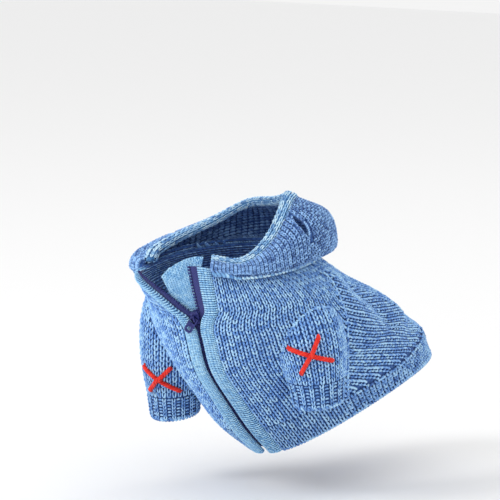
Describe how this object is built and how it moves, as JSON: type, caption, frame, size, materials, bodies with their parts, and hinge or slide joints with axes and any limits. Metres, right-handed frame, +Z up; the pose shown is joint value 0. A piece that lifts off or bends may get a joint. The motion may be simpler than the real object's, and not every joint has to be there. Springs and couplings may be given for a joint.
{
  "type": "dog hoodie",
  "caption": "Knitted zip-up dog hoodie with short sleeves, ribbed edges and a hood lying down, in its worn form.",
  "frame": {"origin": "middle of the neck opening, where the wearer's neck carries the garment", "axes": "+Z up, -Y towards the wearer's front, +X towards the wearer's left"},
  "size_m": [0.1692, 0.2537, 0.1867],
  "materials": {
    "knit": "marled denim-blue knit",
    "light_knit": "light blue knit",
    "navy_tape": "woven zip tape",
    "navy_metal": "navy enamel",
    "red_yarn": "thick red yarn"
  },
  "bodies": {
    "hoodie": {"body": "knit", "hem_rib": "knit", "sleeve_left": "knit", "sleeve_right": "knit", "cuff_left": "knit", "cuff_right": "knit", "hood": "knit", "hood_band": "light_knit", "zip_band_left": "light_knit", "zip_band_right": "light_knit", "zip_guard": "light_knit", "zip_tape_left": "navy_tape", "zip_tape_right": "navy_tape", "zip_slider": "navy_metal", "cross_left_under": "red_yarn", "cross_left_over": "red_yarn", "cross_right_under": "red_yarn", "cross_right_over": "red_yarn"},
    "pull": {"zip_pull": "navy_metal"}
  },
  "joints": [
    {"name": "pull_swing", "type": "hinge", "parent": "hoodie", "child": "pull", "pos_m": [0.00727, -0.05358, -0.03215], "axis": [-0.8181, -0.2246, 0.5294], "range_deg": [0, 135]}
  ]
}
